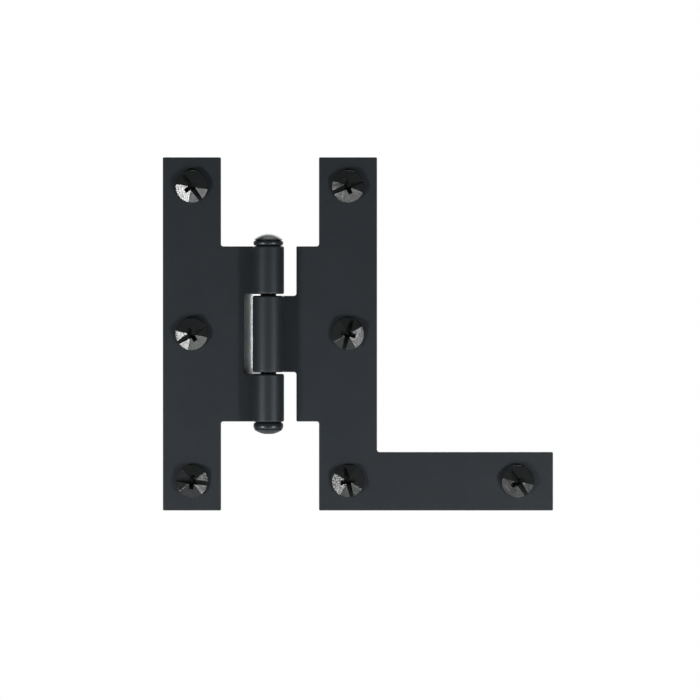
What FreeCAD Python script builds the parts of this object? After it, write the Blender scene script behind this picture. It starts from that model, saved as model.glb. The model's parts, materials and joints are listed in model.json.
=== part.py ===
import FreeCAD, Part
import math
import os
import Sketcher

# A surface hinge for a cabinet door: an H-shaped frame leaf on the left, an L-shaped door leaf on the right,
# rolled knuckles round a headed pin, and pyramid-head wood screws.
# +X points right along the cabinet's face, +Y into the cabinet and +Z up.
# The origin is the centre of the frame leaf's line of screws, on the leaf's back.
# Each leaf and the pin are drawn about the pin's axis, and each screw about its own axis.

App = FreeCAD
doc = App.newDocument("cabinet_hinge")

# Driving dimensions, in millimetres and degrees

DIMENSIONS = {
    "sheet_thickness": 1.9,
    "leaf_height": 88.9,
    "bar_width": 14.6,
    "frame_reach": 26.6,
    "door_reach": 27.3,
    "shoulder_height": 44.1,
    "frame_notch_edge": 6.2,
    "door_shoulder_edge": 7.0,
    "centre_knuckle": 19.2,
    "knuckle_gap": 0.43,
    "foot_height": 14.7,
    "foot_reach": 71.6,
    "inner_corner": 0.6,
    "outer_corner": 0.3,
    "front_bevel": 0.2,
    "knuckle_round": 0.35,
    "seam_gap": 0.25,
    "hole_diameter": 4.6,
    "hole_end_distance": 7.4,
    "foot_hole_spacing": 42.7,
    "pin_diameter": 4.0,
    "running_clearance": 0.06,
    "pin_head_diameter": 7.6,
    "pin_bead_height": 1.3,
    "pin_bead_bevel": 0.4,
    "pin_dome_height": 1.55,
    "pin_peen_flat": 1.1,
    "screw_head_diameter": 8.3,
    "screw_head_height": 2.8,
    "screw_rim_height": 0.8,
    "screw_neck_diameter": 3.6,
    "screw_thread_diameter": 4.1,
    "screw_length": 16.0,
    "screw_point": 3.0,
    "screw_tip_diameter": 0.5,
    "slot_width": 1.1,
    "slot_floor": 1.0,
    "recess_span": 4.4,
    "recess_arm": 0.95,
    "recess_depth": 2.4,
    "recess_floor_span": 1.4,
    "frame_screw_top_turn": 125.0,
    "frame_screw_middle_turn": 32.6,
    "frame_screw_bottom_turn": 172.0,
    "door_screw_top_turn": 22.0,
    "door_screw_middle_turn": 74.6,
    "door_screw_corner_turn": 104.0,
    "door_screw_foot_turn": 123.0,
}

sheet = doc.addObject("Spreadsheet::Sheet", "Sizes")
for row, (alias, value) in enumerate(DIMENSIONS.items(), start=1):
    sheet.set(f"A{row}", alias)
    sheet.set(f"B{row}", str(value))
    sheet.setAlias(f"B{row}", alias)
doc.recompute()

# Sizes that follow from the driving dimensions, as expressions of the sheet

BORE = "(Sizes.pin_diameter / 2 + Sizes.running_clearance)"
BARREL = f"({BORE} + Sizes.sheet_thickness)"
LEAF = "(Sizes.leaf_height / 2)"
SHOULDER = "(Sizes.shoulder_height / 2)"
KNUCKLE = "(Sizes.centre_knuckle / 2)"
NOTCH = f"({KNUCKLE} + Sizes.knuckle_gap)"
FRAME_SCREWS = "(Sizes.frame_reach - Sizes.bar_width / 2)"
DOOR_SCREWS = "(Sizes.door_reach - Sizes.bar_width / 2)"
TOP_HOLE = f"({LEAF} - Sizes.hole_end_distance)"
SCREW_LINES = f"({FRAME_SCREWS} + {DOOR_SCREWS})"


def value_of(expression):
    return float(sheet.evalExpression(expression))


# Sketches


def origin_plane(body, role):
    return next(item for item in body.Origin.OriginFeatures if item.Role == role)


def new_sketch(body, name, role, offset="0"):
    """An empty sketch on one of the body's origin planes, moved along the plane's normal."""
    sketch = body.newObject("Sketcher::SketchObject", name)
    sketch.AttachmentSupport = (origin_plane(body, role), [""])
    sketch.MapMode = "FlatFace"
    sketch.setExpression("AttachmentOffset.Base.z", offset)
    return sketch


def constrain(sketch, kind, *places, expression=None):
    """One constraint, with its size bound to the sheet when it has one."""
    if expression is None:
        return sketch.addConstraint(Sketcher.Constraint(kind, *places))
    index = sketch.addConstraint(Sketcher.Constraint(kind, *places, value_of(expression)))
    sketch.setExpression(f"Constraints[{index}]", expression)
    return index


def place_point(sketch, geometry, end, across=None, up=None):
    """Ties a point to the sketch's axes: an expression is its distance, and "0" puts it on the axis."""
    if across == "0":
        constrain(sketch, "PointOnObject", geometry, end, -2)
    elif across is not None:
        constrain(sketch, "DistanceX", -1, 1, geometry, end, expression=across)
    if up == "0":
        constrain(sketch, "PointOnObject", geometry, end, -1)
    elif up is not None:
        constrain(sketch, "DistanceY", -1, 1, geometry, end, expression=up)


def draw_polygon(sketch, corners):
    """A closed outline of straight lines through corners given as pairs of expressions."""
    points = [App.Vector(value_of(across), value_of(up), 0) for across, up in corners]
    count = len(points)
    first = sketch.GeometryCount
    for index, point in enumerate(points):
        sketch.addGeometry(Part.LineSegment(point, points[(index + 1) % count]), False)
    for index in range(count):
        constrain(sketch, "Coincident", first + index, 2, first + (index + 1) % count, 1)
    for index, (across, up) in enumerate(corners):
        before = first + (index - 1) % count
        same_across = across == corners[index - 1][0]
        same_up = up == corners[index - 1][1]
        if same_across:
            constrain(sketch, "Vertical", before)
        if same_up:
            constrain(sketch, "Horizontal", before)
        place_point(
            sketch, first + index, 1, None if same_across else across, None if same_up else up
        )


def draw_circle(sketch, across, up, radius):
    centre = App.Vector(value_of(across), value_of(up), 0)
    circle = sketch.addGeometry(Part.Circle(centre, App.Vector(0, 0, 1), value_of(radius)), False)
    place_point(sketch, circle, 3, across, up)
    constrain(sketch, "Radius", circle, expression=radius)


def draw_rolled_sheet(sketch, side):
    """The sheet curled round the pin, from the leaf's end at the back, past the front, to just short of the leaf."""
    bore = value_of(BORE)
    barrel = value_of(BARREL)
    seam_height = f"({BORE} - Sizes.seam_gap)"
    seam = math.asin(value_of(seam_height) / barrel)
    if side < 0:
        start, finish = math.pi - seam, math.pi / 2 + math.tau
    else:
        start, finish = math.pi / 2, seam + math.tau
    arcs = []
    for radius, size in ((BARREL, barrel), (BORE, bore)):
        ring = Part.Circle(App.Vector(0, 0, 0), App.Vector(0, 0, 1), size)
        arc = sketch.addGeometry(Part.ArcOfCircle(ring, start, finish), False)
        constrain(sketch, "Coincident", arc, 3, -1, 1)
        constrain(sketch, "Radius", arc, expression=radius)
        arcs.append(arc)
    outer, inner = arcs
    edges = []
    for arc_end, angle in enumerate((start, finish), start=1):
        outward = App.Vector(math.cos(angle), math.sin(angle), 0)
        edge = sketch.addGeometry(Part.LineSegment(outward * barrel, outward * bore), False)
        constrain(sketch, "Coincident", edge, 1, outer, arc_end)
        constrain(sketch, "Coincident", edge, 2, inner, arc_end)
        edges.append(edge)
    seam_edge, leaf_edge = edges if side < 0 else reversed(edges)
    constrain(sketch, "PointOnObject", leaf_edge, 1, -2)
    constrain(sketch, "PointOnObject", leaf_edge, 2, -2)
    constrain(sketch, "PointOnObject", -1, 1, seam_edge)
    constrain(sketch, "DistanceY", -1, 1, seam_edge, 1, expression=seam_height)


def draw_eased_corner(sketch, level, inward):
    """What comes off the barrel's outer corner at a knuckle's end: one bevel, with a lip so that it cuts clean."""
    ease = "Sizes.knuckle_round"
    beyond = f"({BARREL} + {ease})"
    corners = [
        (f"({BARREL} - {ease})", level),
        (BARREL, f"{level} {inward} {ease}"),
        (beyond, f"{level} {inward} {ease}"),
        (beyond, level),
    ]
    draw_polygon(sketch, corners)


# Features


def pad(body, sketch, name, length, both_ways=False):
    feature = body.newObject("PartDesign::Pad", name)
    feature.Profile = sketch
    feature.SideType = "Symmetric" if both_ways else "One side"
    feature.setExpression("Length", length)
    doc.recompute()
    return feature


def pocket(body, sketch, name):
    """A cut through the whole body, both ways from the sketch."""
    before = body.Shape.Volume
    feature = body.newObject("PartDesign::Pocket", name)
    feature.Profile = sketch
    feature.Type = "ThroughAll"
    feature.SideType = "Symmetric"
    doc.recompute()
    check_cut(body, before)
    return feature


def revolve(body, sketch, name):
    """A full turn about the sketch's upright axis."""
    feature = body.newObject("PartDesign::Revolution", name)
    feature.Profile = sketch
    feature.ReferenceAxis = (sketch, ["V_Axis"])
    feature.Angle = 360
    doc.recompute()
    return feature


def groove(body, sketch, name):
    """A turned cut, the whole way round the sketch's upright axis."""
    before = body.Shape.Volume
    feature = body.newObject("PartDesign::Groove", name)
    feature.Profile = sketch
    feature.ReferenceAxis = (sketch, ["V_Axis"])
    feature.Angle = 360
    doc.recompute()
    check_cut(body, before)
    return feature


def check_cut(body, before):
    if body.Shape.Volume > before * 0.9999:
        raise RuntimeError(f"{body.Label}: {body.Tip.Label} removes nothing")


def edge_names(shape, wanted):
    names = [f"Edge{index}" for index, edge in enumerate(shape.Edges, start=1) if wanted(edge)]
    if not names:
        raise RuntimeError("no edge of the shape passes the test")
    return names


def fillet(body, name, radius, wanted):
    """Rounds the edges of the body that the test accepts."""
    base = body.Tip
    feature = body.newObject("PartDesign::Fillet", name)
    feature.Base = (base, edge_names(base.Shape, wanted))
    feature.setExpression("Radius", radius)
    doc.recompute()
    return feature


def chamfer(body, name, size, wanted):
    """Bevels the edges of the body that the test accepts."""
    base = body.Tip
    feature = body.newObject("PartDesign::Chamfer", name)
    feature.Base = (base, edge_names(base.Shape, wanted))
    feature.setExpression("Size", size)
    doc.recompute()
    return feature


def near(first, second):
    return abs(first - second) < 1e-4


def corner_test(corners):
    """Accepts the edges that run through the sheet at these corners of the outline."""
    places = [(value_of(across), value_of(up)) for across, up in corners]

    def accepts(edge):
        ends = [vertex.Point for vertex in edge.Vertexes]
        if len(ends) != 2 or not near(ends[0].x, ends[1].x) or not near(ends[0].z, ends[1].z):
            return False
        return any(near(ends[0].x, x) and near(ends[0].z, z) for x, z in places)

    return accepts


def above_and_below(*corners):
    """The same corners above and below the middle of the barrel."""
    return [(across, sign + up) for across, up in corners for sign in "+-"]


def is_front_edge(edge):
    """An edge round the sheet's front, but not where the front runs on into the bore."""
    front = value_of(BORE)
    ends = [edge.valueAt(edge.FirstParameter), edge.valueAt(edge.LastParameter)]
    on_front = all(near(point.y, front) for point in (*ends, edge.CenterOfMass))
    return on_front and not all(near(point.x, 0) for point in ends)


# Leaves


def new_body(name):
    body = doc.addObject("PartDesign::Body", name)
    body.Label = name
    return body


def make_plate(name, outline, inner, outer):
    """The flat of a leaf, with its corners eased and the edges of its front bevelled."""
    body = new_body(name)
    sketch = new_sketch(body, name + "_outline", "XZ_Plane", f"-{BARREL}")
    draw_polygon(sketch, outline)
    pad(body, sketch, name + "_sheet", "Sizes.sheet_thickness")
    fillet(body, name + "_inner_corners", "Sizes.inner_corner", corner_test(inner))
    fillet(body, name + "_outer_corners", "Sizes.outer_corner", corner_test(outer))
    chamfer(body, name + "_front_edges", "Sizes.front_bevel", is_front_edge)
    return body


def make_roll(name, side, top, gap=None):
    """The curled end of a leaf, parted into two knuckles where a gap is given, with eased knuckle ends."""
    body = new_body(name)
    section = new_sketch(body, name + "_section", "XY_Plane")
    draw_rolled_sheet(section, side)
    pad(body, section, name + "_curl", f"2 * {top}", both_ways=True)
    ends = [(top, "-"), (f"-{top}", "+")]
    if gap is not None:
        parting = new_sketch(body, name + "_gap", "XZ_Plane")
        left, right = f"-2 * {BARREL}", f"2 * {BARREL}"
        draw_polygon(parting, [(left, f"-{gap}"), (right, f"-{gap}"), (right, gap), (left, gap)])
        pocket(body, parting, name + "_gap_cut")
        ends += [(gap, "+"), (f"-{gap}", "-")]
    rounding = new_sketch(body, name + "_end_corners", "XZ_Plane")
    for level, inward in ends:
        draw_eased_corner(rounding, level, inward)
    groove(body, rounding, name + "_ends")
    return body


def drill_bar(body, across):
    """The screw holes of the upright bar: one at the top, repeated down the bar."""
    hole = new_sketch(body, body.Name + "_top_hole", "XZ_Plane")
    draw_circle(hole, across, TOP_HOLE, "Sizes.hole_diameter / 2")
    cut = pocket(body, hole, body.Name + "_top_hole_cut")
    before = body.Shape.Volume
    row = body.newObject("PartDesign::LinearPattern", body.Name + "_hole_row")
    row.Originals = [cut]
    row.Direction = (hole, ["V_Axis"])
    row.Reversed = True
    row.setExpression("Length", f"2 * {TOP_HOLE}")
    row.Occurrences = 3
    body.Tip = row
    doc.recompute()
    check_cut(body, before)


def join_leaf(name, plate, roll):
    leaf = doc.addObject("Part::Fuse", name)
    leaf.Label = name
    leaf.Base = plate
    leaf.Tool = roll
    leaf.Refine = True
    doc.recompute()
    return leaf


def make_frame_leaf():
    outer = "-Sizes.frame_reach"
    inner = "(Sizes.bar_width - Sizes.frame_reach)"
    notch = "-Sizes.frame_notch_edge"
    outline = [
        (outer, f"-{LEAF}"),
        (inner, f"-{LEAF}"),
        (inner, f"-{SHOULDER}"),
        ("0", f"-{SHOULDER}"),
        ("0", f"-{NOTCH}"),
        (notch, f"-{NOTCH}"),
        (notch, NOTCH),
        ("0", NOTCH),
        ("0", SHOULDER),
        (inner, SHOULDER),
        (inner, LEAF),
        (outer, LEAF),
    ]
    inner_corners = above_and_below((inner, SHOULDER), (notch, NOTCH))
    outer_corners = above_and_below((outer, LEAF), (inner, LEAF))
    plate = make_plate("frame_plate", outline, inner_corners, outer_corners)
    drill_bar(plate, f"-{FRAME_SCREWS}")
    roll = make_roll("frame_roll", -1, SHOULDER, NOTCH)
    return join_leaf("frame_leaf", plate, roll)


def make_door_leaf():
    inner = "(Sizes.door_reach - Sizes.bar_width)"
    outer = "Sizes.door_reach"
    shoulder = "Sizes.door_shoulder_edge"
    foot_end = "Sizes.foot_reach"
    foot_top = f"(Sizes.foot_height - {LEAF})"
    outline = [
        ("0", f"-{KNUCKLE}"),
        (shoulder, f"-{KNUCKLE}"),
        (shoulder, f"-{SHOULDER}"),
        (inner, f"-{SHOULDER}"),
        (inner, f"-{LEAF}"),
        (foot_end, f"-{LEAF}"),
        (foot_end, foot_top),
        (outer, foot_top),
        (outer, LEAF),
        (inner, LEAF),
        (inner, SHOULDER),
        (shoulder, SHOULDER),
        (shoulder, KNUCKLE),
        ("0", KNUCKLE),
    ]
    inner_corners = above_and_below((shoulder, KNUCKLE), (inner, SHOULDER)) + [(outer, foot_top)]
    outer_corners = above_and_below((shoulder, SHOULDER), (inner, LEAF))
    outer_corners += [(foot_end, f"-{LEAF}"), (foot_end, foot_top), (outer, LEAF)]
    plate = make_plate("door_plate", outline, inner_corners, outer_corners)
    drill_bar(plate, DOOR_SCREWS)
    foot_hole = new_sketch(plate, "door_plate_foot_hole", "XZ_Plane")
    foot_across = f"({DOOR_SCREWS} + Sizes.foot_hole_spacing)"
    draw_circle(foot_hole, foot_across, f"-{TOP_HOLE}", "Sizes.hole_diameter / 2")
    pocket(plate, foot_hole, "door_plate_foot_hole_cut")
    roll = make_roll("door_roll", 1, KNUCKLE)
    return join_leaf("door_leaf", plate, roll)


# Pin


def draw_arc(sketch, start, finish, radius):
    """An arc from start to finish, bulging to the right of that way, tied to its ends and its radius."""
    first = App.Vector(value_of(start[0]), value_of(start[1]), 0)
    last = App.Vector(value_of(finish[0]), value_of(finish[1]), 0)
    size = value_of(radius)
    chord = last - first
    depth = math.sqrt(size * size - chord.Length * chord.Length / 4)
    inward = App.Vector(-chord.y, chord.x, 0).normalize()
    centre = (first + last) / 2 + inward * depth
    ring = Part.Circle(centre, App.Vector(0, 0, 1), size)
    begin = math.atan2(first.y - centre.y, first.x - centre.x)
    end = math.atan2(last.y - centre.y, last.x - centre.x)
    if end < begin:
        end += math.tau
    arc = sketch.addGeometry(Part.ArcOfCircle(ring, begin, end), False)
    constrain(sketch, "Radius", arc, expression=radius)
    return arc


def make_hinge_pin():
    """One pin with a beaded, domed head at each end, the lower one flattened where it was peened."""
    body = new_body("hinge_pin")
    profile = new_sketch(body, "hinge_pin_profile", "XZ_Plane")
    shank = "Sizes.pin_diameter / 2"
    rim = "Sizes.pin_head_diameter / 2"
    crease = f"({rim} - Sizes.pin_bead_bevel)"
    low_rim = f"({SHOULDER} + Sizes.pin_bead_bevel)"
    crease_height = f"({SHOULDER} + Sizes.pin_bead_height)"
    high_rim = f"({crease_height} - Sizes.pin_bead_bevel)"
    dome_height = "Sizes.pin_dome_height"
    dome = f"(({crease} * {crease} + {dome_height} * {dome_height}) / (2 * {dome_height}))"
    tip = f"({crease_height} + {dome_height})"
    flat = "Sizes.pin_peen_flat"
    flat_height = f"({tip} - {dome} + sqrt({dome} * {dome} - {flat} * {flat}))"
    head = [(crease, SHOULDER), (rim, low_rim), (rim, high_rim), (crease, crease_height)]
    foot = [(across, f"-{up}") for across, up in reversed(head)]
    points = (
        [("0", f"-{flat_height}"), (flat, f"-{flat_height}")]
        + foot
        + [(shank, f"-{SHOULDER}"), (shank, SHOULDER)]
        + head
        + [("0", tip)]
    )
    lower_dome = points.index(foot[0]) - 1
    upper_dome = points.index(head[-1])
    pieces = []
    for index, start in enumerate(points):
        finish = points[(index + 1) % len(points)]
        if index in (lower_dome, upper_dome):
            pieces.append(draw_arc(profile, start, finish, dome))
            continue
        ends = [App.Vector(value_of(across), value_of(up), 0) for across, up in (start, finish)]
        pieces.append(profile.addGeometry(Part.LineSegment(*ends), False))
    for index, piece in enumerate(pieces):
        constrain(profile, "Coincident", piece, 2, pieces[(index + 1) % len(pieces)], 1)
        place_point(profile, piece, 1, *points[index])
    revolve(body, profile, "hinge_pin_turning")
    return body


# Screws


def cut_upright(body, name, role, corners, width=None):
    """A cut from the top of a screw's head, drawn on an upright plane: right through, or as wide as given."""
    sketch = new_sketch(body, name, role)
    draw_polygon(sketch, corners)
    feature = pocket(body, sketch, name + "_cut")
    if width is not None:
        feature.Type = "Length"
        feature.setExpression("Length", width)
        doc.recompute()
    return feature


def make_screw(name):
    """A wood screw: a four-sided pyramid head with a slot and a cross recess, and a neck as long as the sheet."""
    body = new_body(name)
    head = "(Sizes.screw_head_diameter / 2)"
    height = "Sizes.screw_head_height"
    neck = "Sizes.screw_neck_diameter / 2"
    thread = "Sizes.screw_thread_diameter / 2"
    profile = new_sketch(body, name + "_profile", "XZ_Plane")
    draw_polygon(
        profile,
        [
            ("0", "-Sizes.screw_length"),
            ("Sizes.screw_tip_diameter / 2", "-Sizes.screw_length"),
            (thread, "Sizes.screw_point - Sizes.screw_length"),
            (thread, "-Sizes.sheet_thickness"),
            (neck, "-Sizes.sheet_thickness"),
            (neck, "0"),
            (head, "0"),
            (head, height),
            ("0", height),
        ],
    )
    revolve(body, profile, name + "_turning")
    fall = f"({height} - Sizes.screw_rim_height)"
    above_facet = [("0", height), (f"2 * {head}", f"{height} - 2 * {fall}"), (f"2 * {head}", height)]
    facet = cut_upright(body, name + "_facet", "XZ_Plane", above_facet)
    before = body.Shape.Volume
    facets = body.newObject("PartDesign::PolarPattern", name + "_facets")
    facets.Originals = [facet]
    facets.Axis = (origin_plane(body, "Z_Axis"), [""])
    facets.Angle = 360
    facets.Occurrences = 4
    body.Tip = facets
    doc.recompute()
    check_cut(body, before)
    side = "Sizes.slot_width / 2"
    floor = "Sizes.slot_floor"
    slot = [(f"-{side}", floor), (side, floor), (side, height), (f"-{side}", height)]
    cut_upright(body, name + "_slot", "YZ_Plane", slot)
    mouth = "Sizes.recess_span / 2"
    end = "Sizes.recess_floor_span / 2"
    bottom = f"({height} - Sizes.recess_depth)"
    arm = [(f"-{end}", bottom), (end, bottom), (mouth, height), (f"-{mouth}", height)]
    for role in ("XZ_Plane", "YZ_Plane"):
        cut_upright(body, f"{name}_recess_{role[:2]}", role, arm, "Sizes.recess_arm")
    return body


# Places of the finished pieces

SCREWS = {
    "frame_screw_top": ("0", TOP_HOLE),
    "frame_screw_middle": ("0", "0"),
    "frame_screw_bottom": ("0", f"-{TOP_HOLE}"),
    "door_screw_top": (SCREW_LINES, TOP_HOLE),
    "door_screw_middle": (SCREW_LINES, "0"),
    "door_screw_corner": (SCREW_LINES, f"-{TOP_HOLE}"),
    "door_screw_foot": (f"{SCREW_LINES} + Sizes.foot_hole_spacing", f"-{TOP_HOLE}"),
}


def place(body, across, back, up):
    body.setExpression("Placement.Base.x", across)
    body.setExpression("Placement.Base.y", back)
    body.setExpression("Placement.Base.z", up)


pieces = [make_frame_leaf(), make_door_leaf(), make_hinge_pin()]
for piece in pieces:
    place(piece, FRAME_SCREWS, f"-{BARREL}", "0")

for name, (across, up) in SCREWS.items():
    screw = make_screw(name)
    turn = value_of(f"Sizes.{name}_turn")
    screw.Placement = App.Placement(App.Vector(0, 0, 0), App.Rotation(0, -turn, 90))
    place(screw, across, "-Sizes.sheet_thickness", up)
    pieces.append(screw)

doc.recompute()

# Checks before anything is written

for item in doc.Objects:
    if "Invalid" in item.State or "Error" in item.State:
        raise RuntimeError(f"{item.Name} is not built: {item.State}")
for piece in pieces:
    if piece.Shape.isNull() or not piece.Shape.isValid() or len(piece.Shape.Solids) != 1:
        raise RuntimeError(f"{piece.Label} is not one sound solid")

os.makedirs("parts", exist_ok=True)
for piece in pieces:
    piece.Shape.exportStep(f"parts/{piece.Label}.step")
    box = piece.Shape.BoundBox
    print(f"{piece.Label}: {box.XLength:.2f} x {box.YLength:.2f} x {box.ZLength:.2f} mm")
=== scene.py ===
"""A black H-L surface hinge for a cabinet door: two leaves, a pin with beaded heads and seven pyramid-head screws."""

import json
import math

import bmesh
import bpy
from bpy.props import FloatProperty, FloatVectorProperty, IntProperty, PointerProperty
from mathutils import Matrix, Vector


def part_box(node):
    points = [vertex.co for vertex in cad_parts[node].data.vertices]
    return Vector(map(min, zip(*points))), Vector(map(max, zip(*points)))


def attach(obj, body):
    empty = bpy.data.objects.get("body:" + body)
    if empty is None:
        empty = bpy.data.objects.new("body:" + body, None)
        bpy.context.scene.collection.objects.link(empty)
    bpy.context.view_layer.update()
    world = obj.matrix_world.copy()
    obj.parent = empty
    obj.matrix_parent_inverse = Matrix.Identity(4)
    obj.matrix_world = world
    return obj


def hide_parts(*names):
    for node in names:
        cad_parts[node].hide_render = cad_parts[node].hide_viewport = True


bl_info = {
    "name": "Cabinet hinge",
    "version": (1, 0, 0),
    "blender": (4, 5, 0),
    "location": "3D View > Sidebar > Hinge",
    "description": "Makes a black H-L cabinet hinge, its pin and its wood screws",
    "category": "Add Mesh",
}

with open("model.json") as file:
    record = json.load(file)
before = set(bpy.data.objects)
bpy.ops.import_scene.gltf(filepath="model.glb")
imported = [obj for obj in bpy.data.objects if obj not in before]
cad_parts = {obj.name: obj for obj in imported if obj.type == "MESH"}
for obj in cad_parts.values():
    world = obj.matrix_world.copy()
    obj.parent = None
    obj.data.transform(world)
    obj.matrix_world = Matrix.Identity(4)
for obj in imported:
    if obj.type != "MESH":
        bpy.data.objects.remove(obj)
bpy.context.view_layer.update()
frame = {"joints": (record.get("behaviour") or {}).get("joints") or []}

MM = 0.001
# Metres under which two vertices count as one, and the same for the finer cuts of the screws
FINE = 1e-6
FINEST = 1e-7
UPRIGHT = (math.pi / 2, 0, 0)
PIN_AXIS = Vector(frame["joints"][0]["pos_m"])
FRAME_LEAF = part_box("frame_leaf")
DOOR_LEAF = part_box("door_leaf")
# How far each screw is turned, and how far it leans to the right and up, in degrees
SCREW_TURNS = {
    "frame_screw_top": (125.0, 0.0, -2.0),
    "frame_screw_middle": (32.6, 0.0, -2.0),
    "frame_screw_bottom": (172.0, 3.0, 0.0),
    "door_screw_top": (22.0, -2.0, 0.0),
    "door_screw_middle": (74.6, -0.5, -0.8),
    "door_screw_corner": (104.0, 0.0, 2.5),
    "door_screw_foot": (123.0, 1.5, -2.5),
}


def length(name, default, description):
    """A length in metres, shown in the sidebar."""
    return FloatProperty(name=name, description=description, default=default, min=0.0, precision=5, unit="LENGTH")


def turn(name, default, description):
    """An angle, given here in degrees."""
    return FloatProperty(name=name, description=description, default=math.radians(default), subtype="ANGLE")


def share(name, default, description):
    """A number from 0 to 1."""
    return FloatProperty(name=name, description=description, default=default, min=0.0, max=1.0, subtype="FACTOR")


def colour(name, default, description):
    """A linear colour."""
    return FloatVectorProperty(name=name, description=description, default=default, size=3, subtype="COLOR")


class LeafSizes(bpy.types.PropertyGroup):
    """Sizes of the two leaves, in the hinge's own frame."""

    sheet: length("Sheet", 1.9 * MM, "Thickness of the steel sheet")
    bar_width: length("Bar width", 14.6 * MM, "Width of each upright bar")
    shoulder: length("Shoulder", 22.05 * MM, "Half the height of the shoulders and of the whole barrel")
    frame_notch: length("Frame notch", 13.1 * MM, "Distance from the screws to the frame leaf's notch")
    notch: length("Notch", 10.03 * MM, "Half the height of the notch round the middle knuckle")
    knuckle: length("Middle knuckle", 9.6 * MM, "Half the height of the middle knuckle")
    door_shoulder: length("Door shoulder", 7.0 * MM, "Distance from the pin's axis to the door leaf's shoulder")
    foot: length("Foot", 14.7 * MM, "Height of the door leaf's foot")
    inner_corner: length("Inner corners", 0.6 * MM, "Radius of the inner corners of the outline")
    outer_corner: length("Outer corners", 0.3 * MM, "Radius of the outer corners of the outline")
    front_edge: length("Front edges", 0.22 * MM, "Easing of the edges in front")
    back_edge: length("Back edges", 0.1 * MM, "Easing of the edges behind")
    knuckle_end: length("Knuckle ends", 0.45 * MM, "Rounding of the barrel's edges")
    wrap: turn("Wrap", 297.2, "How far the sheet is rolled round the pin")
    ease_in: turn("Ease in", 50.0, "Part of the wrap over which its edges reach their full rounding")
    steps: IntProperty(name="Roll steps", description="Steps in the roll of each knuckle", default=72, min=12)
    hole: length("Holes", 4.6 * MM, "Diameter of the screw holes")


class PinSizes(bpy.types.PropertyGroup):
    """Sizes of the pin."""

    shank: length("Shank", 4.0 * MM, "Diameter of the pin inside the knuckles")
    head: length("Head", 7.56 * MM, "Widest diameter of the bead under each dome")
    gap: length("Gap", 0.15 * MM, "Gap between each end knuckle and its bead")
    bead: length("Bead", 1.3 * MM, "Height of the bead at the top")
    foot_bead: length("Lower bead", 1.75 * MM, "Height of the bead at the bottom")
    tall: length("Head height", 3.16 * MM, "Height of each head, bead and dome together")
    groove: length("Groove", 0.35 * MM, "Depth of the groove between bead and dome")
    foot_groove: length("Lower groove", 0.105 * MM, "Depth of the same groove at the bottom")
    slit: share("Groove height", 0.2, "A third of the groove's height, as a part of its depth")
    collar: share("Collar", 0.804, "Radius of the collar under each bead, as a part of the head's")
    swell: share("Swell", 0.14, "How far each bead bulges, as a part of the head's radius")
    crown: share("Crown", 0.945, "Radius of each dome's foot, as a part of the head's")
    peen: length("Flat tip", 1.1 * MM, "Radius of the flat left by the hammer below")


class ScrewSizes(bpy.types.PropertyGroup):
    """Sizes of the screws."""

    head: length("Head", 8.3 * MM, "Diameter of the head")
    height: length("Height", 2.9 * MM, "Height of the pyramid's point over the leaf")
    rim: length("Rim", 0.95 * MM, "Lowest height of the rim")
    slot: length("Slot", 1.5 * MM, "Width of the slot")
    slot_floor: length("Slot floor", 0.75 * MM, "Height of the slot's floor over the leaf")
    recess: length("Recess", 5.6 * MM, "Span of the cross recess at the point's height")
    recess_floor: length("Recess floor", 1.4 * MM, "Span of the recess at its floor")
    arm: length("Recess arm", 1.32 * MM, "Width of the recess arms")
    recess_depth: length("Recess depth", 2.4 * MM, "Depth of the cross recess")
    edge: length("Edges", 0.09 * MM, "Easing of the ridges between the facets")
    rim_edge: length("Rim edge", 0.22 * MM, "Easing of the rim")
    neck: length("Neck", 3.6 * MM, "Diameter of the neck in the leaf's hole")
    thread: length("Thread", 4.1 * MM, "Outer diameter of the thread")
    root: length("Root", 2.9 * MM, "Diameter at the thread's root")
    pitch: length("Pitch", 1.7 * MM, "Distance from one turn of the thread to the next")
    point: length("Point", 3.6 * MM, "Length of the tapering point")
    shank: length("Length", 16.0 * MM, "Length below the head")


class PaintLook(bpy.types.PropertyGroup):
    """Colour and gloss of the black paint."""

    leaf_colour: colour("Leaves", (0.0131, 0.0170, 0.0205), "Colour of the satin paint on the leaves and pin")
    leaf_roughness: share("Leaf roughness", 0.45, "Roughness of the satin paint")
    leaf_specular: share("Leaf specular", 0.34, "Strength of the satin paint's reflections")
    pin_roughness: share("Pin roughness", 0.33, "Roughness of the paint on the pin's turned heads")
    screw_colour: colour("Screws", (0.0150, 0.0160, 0.0165), "Colour of the gloss paint on the screws")
    screw_roughness: share("Screw roughness", 0.17, "Roughness of the gloss paint")
    screw_specular: share("Screw specular", 0.34, "Strength of the gloss paint's reflections")
    screw_speckle: share("Screw speckle", 0.3, "How much that strength varies from speck to speck")


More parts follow.
